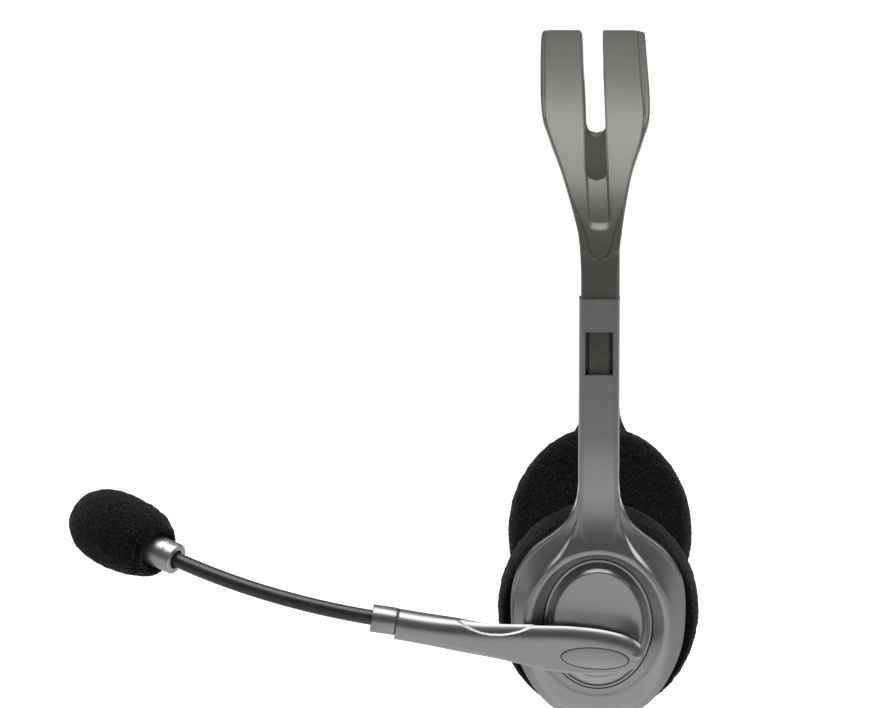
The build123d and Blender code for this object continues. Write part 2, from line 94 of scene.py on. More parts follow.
def arch_radii():
    """The top of the headband's straight foot, and the radii of the side and of the crown."""
    u0 = MOUTH_U - BAND_INSET * cos(SLIDE) + BAND_STRAIGHT * sin(SLIDE)
    z0 = MOUTH_Z + BAND_INSET * sin(SLIDE) + BAND_STRAIGHT * cos(SLIDE)
    middle = SLIDE - SIDE_TURN
    a11, a12 = cos(SLIDE) - cos(middle), cos(middle)
    a21, a22 = sin(SLIDE) - sin(middle), 1 + sin(middle)
    rise = BAND_TOP - z0
    det = a11 * a22 - a12 * a21
    return u0, z0, (u0 * a22 - a12 * rise) / det, (a11 * rise - a21 * u0) / det


KNEE_U, KNEE_Z, SIDE_R, CROWN_R = arch_radii()
ARCH_LENGTH = BAND_STRAIGHT + SIDE_R * SIDE_TURN + CROWN_R * (pi / 2 + SLIDE - SIDE_TURN)


def arch(s, depth):
    """Outward and upward position on the headband's side line, s along it from the arm's mouth."""
    if s <= BAND_STRAIGHT:
        angle = SLIDE
        u = KNEE_U - (BAND_STRAIGHT - s) * sin(SLIDE)
        z = KNEE_Z - (BAND_STRAIGHT - s) * cos(SLIDE)
    else:
        side_angle = min((s - BAND_STRAIGHT) / SIDE_R, SIDE_TURN)
        angle = SLIDE - side_angle
        u = KNEE_U + SIDE_R * (cos(angle) - cos(SLIDE))
        z = KNEE_Z + SIDE_R * (sin(SLIDE) - sin(angle))
        rest = (s - BAND_STRAIGHT - SIDE_R * SIDE_TURN) / CROWN_R
        if rest > 0:
            start, angle = angle, angle - rest
            u += CROWN_R * (cos(angle) - cos(start))
            z += CROWN_R * (sin(start) - sin(angle))
    return u - depth * cos(angle), z + depth * sin(angle)


def lean(z):
    """Forward offset of the headband's centre line at a height."""
    return -CROWN_LEAN * max(0.0, (z - LEAN_START) / (BAND_TOP - LEAN_START))


# ---- Mesh helpers ----
def smooth(t):
    """A soft step from 0 to 1 as t goes from 0 to 1."""
    t = min(1.0, max(0.0, t))
    return t * t * (3 - 2 * t)


def curve_through(points, count):
    """A smooth line through points (Catmull-Rom), as an array of evenly spaced points."""
    p = np.array(points, float)
    p = np.vstack([2 * p[0] - p[1], p, 2 * p[-1] - p[-2]])
    out = []
    for a, b, c, d in zip(p, p[1:], p[2:], p[3:]):
        for t in np.linspace(0, 1, 24, endpoint=False):
            out.append(0.5 * (2 * b + (c - a) * t + (2 * a - 5 * b + 4 * c - d) * t ** 2
                              + (3 * b - a - 3 * c + d) * t ** 3))
    out.append(p[-2])
    out = np.array(out)
    length = np.concatenate([[0], np.cumsum(np.linalg.norm(np.diff(out, axis=0), axis=1))])
    even = np.linspace(0, length[-1], count)
    return np.stack([np.interp(even, length, out[:, k]) for k in range(out.shape[1])], axis=1)


def make_mesh(name, points, faces, sharp=38.0, weld=0.004):
    """A piece from points in millimetres and the faces between them."""
    mesh = bpy.data.meshes.new(name)
    mesh.from_pydata([tuple(float(v) * MM for v in p) for p in points], [], faces)
    piece = bpy.data.objects.new(name, mesh)
    scene.collection.objects.link(piece)
    clean(piece, sharp, weld)
    return piece


def clean(piece, sharp=38.0, weld=0.004):
    """Welds doubled points, drops flat faces, turns the normals outward and smooths the shading."""
    mesh = piece.data
    work = bmesh.new()
    work.from_mesh(mesh)
    bmesh.ops.remove_doubles(work, verts=work.verts, dist=weld * MM)
    bmesh.ops.dissolve_degenerate(work, edges=work.edges, dist=weld * MM)
    bmesh.ops.delete(work, geom=[v for v in work.verts if not v.link_faces], context="VERTS")
    bmesh.ops.recalc_face_normals(work, faces=work.faces)
    work.to_mesh(mesh)
    work.free()
    mesh.polygons.foreach_set("use_smooth", [True] * len(mesh.polygons))
    mesh.set_sharp_from_angle(angle=radians(sharp))
    return piece


def grid_faces(rows, columns, start=0, wrap=False, skip=None):
    """Faces of a grid of points held row after row. skip(row, column) leaves a hole."""
    faces = []
    last = columns if wrap else columns - 1
    for r in range(rows - 1):
        for c in range(last):
            if skip and skip(r, c):
                continue
            d = (c + 1) % columns
            a = start + r * columns
            b = a + columns
            faces.append((a + c, a + d, b + d, b + c))
    return faces


def loft(name, loops, sharp=38.0, caps=(True, True)):
    """A skin over closed loops of equal length, with its ends closed as asked."""
    count = len(loops[0])
    points = [p for loop in loops for p in loop]
    faces = grid_faces(len(loops), count, wrap=True)
    if caps[0]:
        faces.append(tuple(range(count - 1, -1, -1)))
    if caps[1]:
        base = (len(loops) - 1) * count
        faces.append(tuple(range(base, base + count)))
    return make_mesh(name, points, faces, sharp)


def turns(count):
    """Even angles round a circle."""
    return [2 * pi * k / count for k in range(count)]


def turned(name, profile, place, count=64, sharp=38.0):
    """A body of revolution. place(a, b, along) puts a point that is a and b off the axis."""
    loops = [[place(radius * cos(a), radius * sin(a), along) for a in turns(count)]
             for radius, along in profile]
    return loft(name, loops, sharp, caps=(profile[0][0] > 0.01, profile[-1][0] > 0.01))


def rounded_profile(profile, radius, steps=4):
    """The same outline with its corners rounded."""
    p = [np.array(q, float) for q in profile]
    out = [tuple(p[0])]
    for a, b, c in zip(p, p[1:], p[2:]):
        la, lc = np.linalg.norm(a - b), np.linalg.norm(c - b)
        cut = min(radius, 0.45 * la, 0.45 * lc)
        if cut < 1e-4:
            out.append(tuple(b))
            continue
        start, end = b + (a - b) / la * cut, b + (c - b) / lc * cut
        for t in np.linspace(0, 1, steps + 1):
            out.append(tuple((1 - t) ** 2 * start + 2 * t * (1 - t) * b + t * t * end))
    out.append(tuple(p[-1]))
    return out


def with_modifiers(piece):
    """Turns the piece's modifiers into plain geometry."""
    graph = bpy.context.evaluated_depsgraph_get()
    mesh = bpy.data.meshes.new_from_object(piece.evaluated_get(graph))
    piece.modifiers.clear()
    piece.data = mesh
    return clean(piece)


def solidify(piece, thickness, bevel):
    """Gives an open sheet a wall on its inner side, and breaks the wall's edges."""
    shell = piece.modifiers.new("wall", "SOLIDIFY")
    shell.thickness = thickness * MM
    shell.offset = -1
    shell.use_even_offset = False
    edge = piece.modifiers.new("edge", "BEVEL")
    edge.width = bevel * MM
    edge.segments = 2
    edge.limit_method = "ANGLE"
    edge.angle_limit = radians(50)
    edge.use_clamp_overlap = True
    return with_modifiers(piece)


def mirrored(piece, name):
    """A copy of a piece for the other side."""
    mesh = piece.data.copy()
    for v in mesh.vertices:
        v.co.y = -v.co.y
    mesh.flip_normals()
    other = bpy.data.objects.new(name, mesh)
    scene.collection.objects.link(other)
    return clean(other)


def joined(name, pieces):
    """One object from several, each keeping its own skin."""
    work = bmesh.new()
    for piece in pieces:
        work.from_mesh(piece.data)
        bpy.data.objects.remove(piece)
    mesh = bpy.data.meshes.new(name)
    work.to_mesh(mesh)
    work.free()
    out = bpy.data.objects.new(name, mesh)
    scene.collection.objects.link(out)
    return clean(out, weld=0.0005)


# ---- Headband ----
BAND_HALF = [(5.05, 88), (5.2, 100), (6.2, 110), (9.4, 124), (12.9, 134), (14.8, 141.5), (14.6, 160)]
BAND_WIDTH = curve_through([(z, half) for half, z in BAND_HALF], 400)
PANEL = [(0.0, 101.4), (1.2, 101.7), (2.3, 102.8), (3.1, 104.8), (3.9, 108), (5.9, 113), (9.3, 123),
         (12.5, 132), (13.7, 139), (13.4, 147), (13.2, 160)]
PANEL_EDGE = curve_through([(z, half) for half, z in PANEL], 400)
SLOT_LOW, SLOT_HALF, SLOT_HALF_TOP = 122.7, 2.9, 3.25
RECESS_LOW, RECESS_HALF, RECESS_DEPTH = 108.9, 3.1, 1.15


def band_half_width(z):
    """Half the headband's width at a height."""
    return float(np.interp(z, BAND_WIDTH[:, 0], BAND_WIDTH[:, 1]))


def slot_half_width(z):
    """Half the width of the slot between the two strips at a height."""
    if z <= SLOT_LOW:
        return 0.0
    rise = z - SLOT_LOW
    if rise < SLOT_HALF:
        return sqrt(SLOT_HALF ** 2 - (SLOT_HALF - rise) ** 2)
    return SLOT_HALF + (SLOT_HALF_TOP - SLOT_HALF) * smooth((z - 126) / 30)


def band_relief(x, z):
    """How far the outer face is sunk: recess, embossed panel edge, side slope, parting line."""
    depth = 0.0
    foot = z - RECESS_LOW
    if foot > -0.2:
        half = RECESS_HALF
        if foot < half:
            half = sqrt(max(0.0, half ** 2 - (half - foot) ** 2))
        wall = smooth((half + 0.2 - abs(x)) / 1.0)
        scoop = smooth(foot / 2.6)
        depth += RECESS_DEPTH * wall * scoop
    panel = float(np.interp(z, PANEL_EDGE[:, 0], PANEL_EDGE[:, 1])) if z > 101.4 else -1.0
    outside = abs(x) - panel
    room = max(0.3, band_half_width(z) - panel)
    if panel > 0:
        depth += 0.5 * smooth(outside / room) * smooth((z - 101.4) / 3.0)
        depth += 0.32 * max(0.0, 1 - abs(outside) / 0.3)
    else:
        depth += 0.5 * smooth((abs(x) - 3.6) / 1.6)
    if 91 < z < 102:
        depth += 0.1 * max(0.0, 1 - abs(x) / 0.25)
    return depth


def headband_half(name):
    """The left half of the headband, from the arm's mouth to the middle of the crown."""
    rows = [-2.5, -1.0, 0.0, 1.0, 2.0]
    s = 2.0
    while s < ARCH_LENGTH - 0.01:
        z = arch(s, 0)[1]
        fine = z < 112 or SLOT_LOW - 1 < z < SLOT_LOW + 3.6
        s += 0.35 if fine else 1.1
        rows.append(min(s, ARCH_LENGTH))
    edge_r = 0.7
    points, faces = [], []
    for side in (-1, 1):
        start = len(points)
        for s in rows:
            z0 = arch(s, 0)[1]
            crown = smooth((z0 - 122) / 20)
            half, hole = band_half_width(z0), slot_half_width(z0)
            half += 0.8 * crown if side > 0 else -0.25 * crown
            if hole and side < 0:
                hole += 0.25 - 0.65 * crown
            edge = half - edge_r
            near = max(hole, RECESS_HALF - 0.6)
            wall = max(hole + 0.12, RECESS_HALF + 0.1)
            panel = float(np.interp(z0, PANEL_EDGE[:, 0], PANEL_EDGE[:, 1]))
            if z0 < RECESS_LOW - 0.3:
                panel = min(max(panel, 0.6), edge - 0.5)
                near, wall = panel * 0.4, panel * 0.75
            panel = min(max(panel, wall + 0.15), edge - 0.4)
            across = [hole + (near - hole) * t for t in (0, 0.33, 0.66, 1.0)]
            across += [near + (wall - near) * t for t in (0.2, 0.4, 0.6, 0.8, 1.0)]
            across += [wall + (panel - wall) * t for t in (0.25, 0.5, 0.75)]
            across += [panel - 0.24, panel - 0.12, panel, panel + 0.12, panel + 0.24]
            across += [panel + 0.24 + (edge - panel - 0.24) * t for t in (0.35, 0.7, 1.0)]
            across = sorted(min(max(x, hole), edge) for x in across)
            outer = [(x, band_relief(x, z0)) for x in across]
            for k in range(1, 6):
                turn = k / 5 * pi / 2
                x = edge + edge_r * sin(turn)
                outer.append((x, band_relief(x, z0) + edge_r * (1 - cos(turn))))
            inner = [(half, BAND_THICK - edge_r)]
            for k in range(1, 5):
                turn = k / 4 * pi / 2
                inner.append((half - edge_r * (1 - cos(turn)), BAND_THICK - edge_r * (1 - sin(turn))))
            inner += [(hole + (half - edge_r - hole) * t, BAND_THICK) for t in (0.8, 0.5, 0.25, 0.1)]
            lip = 0.45 if hole > 1.0 else 0.0
            slot_wall = [(hole + lip, BAND_THICK), (hole + lip * 0.3, BAND_THICK - lip * 0.3),
                         (hole, BAND_THICK - lip), (hole, outer[0][1] + lip)]
            loop = [(hole + lip * 0.3, outer[0][1] + lip * 0.3)]
            outer[0] = (hole + lip, outer[0][1])
            loop += [q if q[0] >= hole + lip else (hole + lip, q[1]) for q in outer]
            loop += inner + slot_wall
            columns = len(loop)
            for x, depth in loop:
                u, z = arch(s, depth)
                points.append((lean(z0) + side * x, -u, z))
        solid = [slot_half_width(arch(s, 0)[1]) <= 0 for s in rows]

        # Below the slot there is no wall between the two halves.
        def hidden(r, c):
            return c >= columns - 4 and solid[r] and solid[r + 1]

        faces += grid_faces(len(rows), columns, start, wrap=True, skip=hidden)
        faces.append(tuple(start + k for k in range(columns)))
    return make_mesh(name, points, faces, sharp=32)


def tongue(name):
    """The slider's tongue under a leg of the headband: a grooved rib on a wider flange."""
    inner = BAND_INSET + BAND_THICK
    outer = 1.8
    rib, flange = 3.05, 4.0
    section = [(-flange, inner), (-flange, inner - 1.4), (-rib, inner - 1.4), (-rib, outer + 0.3),
               (-rib + 0.3, outer), (-0.35, outer), (0, outer + 0.18), (0.35, outer), (rib - 0.3, outer),
               (rib, outer + 0.3), (rib, inner - 1.4), (flange, inner - 1.4), (flange, inner)]
    stations = [-0.6, 0]
    stations += [2 + k * 2.0 for k in range(17)]
    stations += [36.8, 37.4]
    loops = []
    for along in stations:
        shrink = 0.25 if along > 37 else 0.0
        loops.append([arm(x - shrink * (1 if x > 0 else -1), along, depth + (shrink if depth < 2.5 else 0))
                      for x, depth in section])
    return loft(name, loops, sharp=30)


# ---- Cup shells and arms ----
CENTRE_W = 0.4
OUTLINE_HALF = [(5.6, 44), (5.66, 40), (5.75, 38), (6.1, 36.2), (7.2, 33.3), (9.2, 30.2),
                (12.4, 27.2), (18.9, 21.5), (23.4, 13), (24.4, 2), (22.9, -10), (17.3, -22),
                (9.5, -29.3), (0, -31.8)]
RIDGE_HALF = [(5.6, 44), (5.6, 38.5), (5.7, 32.4), (6.6, 29.3), (7.8, 26.2), (10.5, 21.9), (13.5, 18.4),
              (16.5, 14.3), (19.1, 9.6), (20.6, 4.0), (20.8, 0.5), (20.2, -6.5), (17.9, -12.5),
              (13.6, -18.8), (7.8, -23.6), (0, -25.0)]
TOP_W = 40.0
TOP_ANGLE = atan2(5.6, TOP_W - CENTRE_W)
SHELL_BACK, ARM_FACE, CREST = 6.3, 8.0, 12.0
ARM_FOOT_W = 38.5


def polar(points):
    """Radius against angle from the top, for a half outline about the cup's centre."""
    line = curve_through(points, 500)
    angles = [atan2(x, w - CENTRE_W) for x, w in line]
    radii = [hypot(x, w - CENTRE_W) for x, w in line]
    return np.array(angles), np.array(radii)


OUTLINE_POLAR, RIDGE_POLAR = polar(OUTLINE_HALF), polar(RIDGE_HALF)


def radius_at(table, angle):
    """Radius of a tabled outline at an angle from the top."""
    return float(np.interp(abs(angle), table[0], table[1]))


def oval_radius(angle, rx, ry, w0):
    """Distance from the cup's centre to an oval at an angle from the top."""
    dx, dw, off = sin(angle), cos(angle), CENTRE_W - w0
    a = (dx / rx) ** 2 + (dw / ry) ** 2
    b = 2 * dw * off / ry ** 2
    c = (off / ry) ** 2 - 1
    return (-b + sqrt(b * b - 4 * a * c)) / (2 * a)


def arm_back(w):
    """How far out the arm's inner edge is, on the cup's scale, where the arm leaves the cup."""
    return SHELL_BACK + 0.1 - smooth((w - 27) / 14) * 4.2


def softened(line, reach):
    """A line of heights with its corners rounded over a reach of samples."""
    kernel = np.hanning(2 * reach + 3)
    kernel /= kernel.sum()
    pad = len(kernel) // 2
    before = 2 * line[0] - line[1:pad + 1][::-1]
    after = 2 * line[-1] - line[-pad - 1:-1][::-1]
    return np.convolve(np.concatenate([before, line, after]), kernel, "valid")


def ray_profile(angle):
    """Radii and heights along one ray of the cup, from the disc's groove to the shell's edge."""
    groove = oval_radius(angle, 15.35, 20.45, CENTRE_W)
    inner = oval_radius(angle, 18.3, 22.4, 0.4)
    top = abs(angle) <= TOP_ANGLE + 1e-6
    if top:
        ridge = (ARM_FOOT_W - CENTRE_W) / cos(angle)
        edge = (TOP_W - CENTRE_W) / cos(angle)
    else:
        ridge = radius_at(RIDGE_POLAR, angle)
        edge = radius_at(OUTLINE_POLAR, angle)
    crest_edge = min(oval_radius(angle, 20.8, 23.9, 0.5), ridge - 0.7)
    crest_edge = max(crest_edge, inner + 0.5)
    ridge = max(ridge, crest_edge + 0.6)
    ridge_w = CENTRE_W + ridge * cos(angle)
    if top or ridge_w > ARM_FOOT_W:
        height = ARM_FACE
    else:
        height = float(np.interp(-ridge_w, [-38.5, -34, -30, -27, -24, -21, -17],
                                 [8.0, 8.35, 9.0, 9.7, 10.7, 11.4, 11.7]))
    return groove, inner, crest_edge, ridge, edge, height, top


def cup_height(angle, radius, profile):
    """Height of the cup's face above the pad's plane, at an angle and a radius."""
    groove, inner, crest_edge, ridge, edge, height, top = profile
    foot = smooth((abs(angle) - 1.8) / 0.9)
    crest = CREST - 1.2 * foot
    height = min(height, crest)
    if radius < inner:
        return 10.5 + (crest - 10.7) * (radius - groove) / (inner - groove)
    if radius < crest_edge:
        return crest
    if radius < ridge:
        t = (radius - crest_edge) / (ridge - crest_edge)
        power = 1 + 0.75 * smooth((ridge - crest_edge - 0.8) / 4)
        return height + (crest - 0.2 * (1 - foot) - height) * (1 - t) ** power
    if top:
        return height
    out = (radius - ridge) / max(0.2, edge - ridge)
    wall = 0.95 * smooth((abs(angle) - TOP_ANGLE) / 0.06) * (1 - 0.75 * smooth((abs(angle) - 0.45) / 0.5))
    wall = min(wall * (1 - foot), height - 7.6)
    fall = (height - wall - 7.5) * out ** (0.9 + 3.0 * foot)
    return height - wall * smooth((radius - ridge) / 0.5) - fall


def cup_sheet():
    """The outer skin of a cup shell, its arm and their edges, as one open sheet."""
    columns_x = [-5.6, -5.35, -4.95, -4.4, -3.8, -1.9, 0, 1.9, 3.8, 4.4, 4.95, 5.35, 5.6]
    top_angles = [atan2(x, TOP_W - CENTRE_W) for x in columns_x]
    half = list(np.linspace(TOP_ANGLE, radians(34), 20)[1:])
    half += list(np.linspace(radians(34), pi, 52)[1:])
    angles = top_angles + half + [-a for a in reversed(half[:-1])]
    bands = [(0, 1, 5), (1, 2, 4), (2, 3, 12), (3, 4, 9)]
    points = []
    table = []
    for angle in angles:
        profile = ray_profile(angle)
        groove, inner, crest_edge, ridge, edge, _, top = profile
        roll = 0.0 if top else min(0.9, 0.45 * (edge - ridge))
        keys = (groove, inner, crest_edge, ridge, edge - roll)
        radii = [groove, groove]
        heights = [9.6, 10.4]
        dense = np.linspace(groove, edge, 260)
        raw = np.array([cup_height(angle, r, profile) for r in dense])
        step = dense[1] - dense[0]
        reach = int(max(1, round(0.45 / step)))
        soft = softened(raw, reach)
        shoulder = 1 - smooth((abs(angle) - 0.5) / 0.3)
        wide = softened(raw, int(reach * (1 + (1.1 if angle > 0 else 0.15) * shoulder)))
        mix = np.array([shoulder * smooth((r - crest_edge - 0.3) / 1.2) for r in dense])
        soft = soft + (wide - soft) * mix
        for a, b, count in bands:
            for k in range(count):
                t = k / count
                if b == 3:
                    t = t ** 1.25
                radii.append(keys[a] + (keys[b] - keys[a]) * t)
                heights.append(float(np.interp(radii[-1], dense, soft)))
        radii.append(keys[4])
        heights.append(float(np.interp(keys[4], dense, soft)))
        w_edge = CENTRE_W + edge * cos(angle)
        back = arm_back(w_edge) if abs(angle) < radians(30) else SHELL_BACK
        if not top:
            face = heights[-1]
            depth = min(0.9, face - back - 0.2)
            for turn in (0.35, 0.7, 1.05, pi / 2):
                radii.append(keys[4] + roll * sin(turn))
                heights.append(face - depth * (1 - cos(turn)))
            for t in (0.5, 1.0):
                radii.append(edge)
                heights.append(face - depth + (back - face + depth) * t)
        else:
            radii += [edge] * 6
            heights += [heights[-1]] * 6
        table.append((radii, heights, top))
    rows = len(table[0][0])
    # The arm's long edges are rolled; the roll fades out where the shoulders open.
    for column, (radii, heights, top) in enumerate(table):
        angle = angles[column]
        line = []
        for r, n in zip(radii, heights):
            x, w = r * sin(angle), CENTRE_W + r * cos(angle)
            if w > 28 and abs(x) < 7.5 and top:
                half_width = float(np.interp(w, [26.2, 29.3, 32.4, 38.5, 44], [7.8, 6.6, 5.75, 5.6, 5.6]))
                inside = half_width - abs(x)
                size = ARM_ROLL * smooth((w - 30) / 6)
                if inside < size:
                    n -= size - sqrt(max(0.0, size ** 2 - (size - max(0.0, inside)) ** 2))
            line.append((x, w, n))
        points += [cup(*q) for q in line]
    count = len(angles)
    order = [column * rows + row for row in range(rows) for column in range(count)]
    points = [points[k] for k in order]
    faces = grid_faces(rows, count, wrap=True)
    return points, faces, columns_x, count, rows


def arm_path():
    """Stations up the arm's outer face from the cup: outward, upward, and the angle of the face."""
    low = (PAD_SPREAD + 22 * sin(TILT) + ARM_FACE * cos(TILT), 22 * cos(TILT) - ARM_FACE * sin(TILT))
    run = MOUTH_U - low[0] - (MOUTH_Z - low[1]) * tan(SLIDE)
    bend_z = low[1] + run / (tan(TILT) - tan(SLIDE))
    bend = (low[0] + (bend_z - low[1]) * tan(TILT), bend_z)
    reach = ARM_BEND_R * tan((TILT - SLIDE) / 2)
    start = (bend[0] - reach * sin(TILT), bend[1] - reach * cos(TILT))
    stations = []
    for t in np.linspace(0, 1, 9):
        angle = TILT + (SLIDE - TILT) * t
        u = start[0] + ARM_BEND_R * (cos(angle) - cos(TILT))
        z = start[1] + ARM_BEND_R * (sin(TILT) - sin(angle))
        stations.append((u, z, angle))
    end_z = stations[-1][1]
    along_end = (MOUTH_Z - end_z) / cos(SLIDE)
    marks = [30, 26, 22.5, 21.5, 21.0, 20.5, 18, 15, 12, 9.5, 9.0, 8.5, 6, 4, 2, 1.0, 0.6, 0.3, 0.1, 0]
    for along in [m for m in marks if m < along_end - 1]:
        u, z = arm(0, along, 0)[1:]
        stations.append((-u, z, SLIDE))
    return stations


def arm_depth(u, z, angle):
    """Distance from the arm's outer face to its inner edge."""
    corner = arm(0, 40.5, ARM_DEPTH)
    cu, cz = -corner[1], corner[2]
    if z > cz + 2:
        return ARM_DEPTH
    low = (PAD_SPREAD + 27 * sin(TILT) + 6.4 * cos(TILT), 27 * cos(TILT) - 6.4 * sin(TILT))
    t = (z - low[1]) / (cz - low[1])
    inner_u = low[0] + (cu - low[0]) * min(1.0, max(0.0, t))
    return min(ARM_DEPTH, (u - inner_u) * cos(angle))


def arm_shell(name):
    """The left cup shell and its arm in one skin, with the arm's window."""
    points, faces, columns_x, count, rows = cup_sheet()
    width = len(columns_x)
    last_row = (rows - 1) * count
    stations = arm_path()[1:]
    first = len(points)
    sides = [0.25, 0.5, 0.75, 1.0]
    ring = 2 * len(sides) + width
    alongs = []
    for u, z, angle in stations:
        depth = arm_depth(u, z, angle)
        alongs.append((MOUTH_Z - z) / cos(SLIDE))
        section = [(-ARM_HALF, ARM_ROLL + (depth - ARM_ROLL) * t) for t in reversed(sides)]
        for x in columns_x:
            short = ARM_ROLL - (ARM_HALF - abs(x))
            drop = ARM_ROLL - sqrt(max(0.0, ARM_ROLL ** 2 - short ** 2)) if short > 0 else 0.0
            section.append((x, drop))
        section += [(ARM_HALF, ARM_ROLL + (depth - ARM_ROLL) * t) for t in sides]
        for x, d in section:
            points.append((x, -(u - d * cos(angle)), z + d * sin(angle)))
    for r in range(len(stations) - 1):
        for c in range(ring - 1):
            middle = (alongs[r] + alongs[r + 1]) / 2
            column = c - len(sides)
            if WINDOW_TOP < middle < WINDOW_FOOT and 4 <= column < width - 1 - 4:
                continue
            a = first + r * ring + c
            faces.append((a, a + 1, a + 1 + ring, a + ring))
    # The arm's first row meets the cup's last one.
    for c in range(width - 1):
        a, b = last_row + c, last_row + c + 1
        d, e = first + len(sides) + c, first + len(sides) + c + 1
        faces.append((a, b, e, d))
    # Its two side walls meet the ends of the shell's edge.
    for corner, turn in ((width - 1, 1), (0, -1)):
        pole = last_row + corner
        wall = [first + len(sides) + width - 1 + k for k in range(len(sides) + 1)]
        if turn < 0:
            wall = [first + len(sides) - k for k in range(len(sides) + 1)]
        neighbour = corner + 1 if turn > 0 else count - 1
        foot = (rows - 1) * count + neighbour
        faces.append((pole, wall[0], wall[1]))
        for a, b in zip(wall[1:], wall[2:]):
            faces.append((pole, a, b))
        faces.append((pole, wall[-1], foot))
    shell = make_mesh(name, points, faces, sharp=45)
    solidify(shell, 1.35, bevel=0.22)
    return shell


# ---- Trim disc ----
def oval_rings(name, rings, count=120, sharp=38.0, caps=(True, True)):
    """A skin over ovals on a cup, each given by its two radii, its middle and its height."""
    loops = [[cup(rx * sin(a), w0 + ry * cos(a), n) for a in turns(count)] for rx, ry, w0, n in rings]
    return loft(name, loops, sharp, caps)


def trim_disc(name):
    """The oval disc in a cup: a bead, a groove, a sloping land and a raised plateau."""
    rings = [(15.02, 20.12, 0.4, 9.4), (15.1, 20.2, 0.4, 10.3), (15.02, 20.12, 0.4, 10.44),
             (14.85, 19.95, 0.4, 10.52), (14.5, 19.6, 0.4, 10.54), (14.32, 19.42, 0.4, 10.46),
             (14.26, 19.36, 0.4, 10.3), (14.24, 19.34, 0.4, 10.12), (14.08, 19.18, 0.4, 10.12),
             (14.04, 19.14, 0.4, 10.34), (13.92, 19.02, 0.4, 10.46), (13.5, 18.3, 0.65, 10.78),
             (13.15, 17.45, 1.0, 11.08), (12.98, 17.03, 1.2, 11.24), (12.9, 16.95, 1.2, 11.34),
             (12.75, 16.8, 1.2, 11.54), (12.58, 16.63, 1.2, 11.78), (12.42, 16.47, 1.2, 12.0),
             (12.3, 16.35, 1.2, 12.16), (12.2, 16.25, 1.2, 12.24), (12.05, 16.1, 1.2, 12.28),
             (11.0, 15.0, 1.2, 12.31), (8.5, 11.5, 1.2, 12.34), (5, 6.8, 1.2, 12.36), (2, 2.7, 1.2, 12.37)]
    return oval_rings(name, rings)


# ---- Boom ----
BOOM_FACE, BOOM_BACK, ROLL_STEPS = 20.6, 12.8, 40
BOOM_TOP = curve_through([(-55.8, 3.95), (-47, 3.8), (-38.4, 3.95), (-33, 4.05), (-27, 4.7), (-16.9, 6.25),
                          (-8, 7.5), (0, 7.9), (5.5, 7.5), (9.2, 6.6), (11.6, 5.3), (12.9, 3.9),
                          (13.4, 2.2)], 420)
BOOM_LOW = curve_through([(-55.8, -4.75), (-47, -4.9), (-38, -5.1), (-25.7, -5.35), (-14, -6.45),
                          (-8.3, -6.55), (-1.5, -6.1), (5.4, -4.75), (9.0, -3.4), (11.6, -1.6), (12.9, 0.3),
                          (13.4, 2.2)], 300)
SCALLOP_START, SCALLOP_END = -39.4, -17.7
SCALLOP = curve_through([(-39.4, 4.7), (-38.2, 3.9), (-36.1, 2.8), (-31.8, 1.75), (-26.8, 2.1), (-22.3, 3.7),
                         (-19.7, 5.3), (-17.7, 6.7)], 200)


def boom_edges(x):
    """The boom's upper and lower edge at a distance along it."""
    return np.interp(x, BOOM_TOP[:, 0], BOOM_TOP[:, 1]), np.interp(x, BOOM_LOW[:, 0], BOOM_LOW[:, 1])


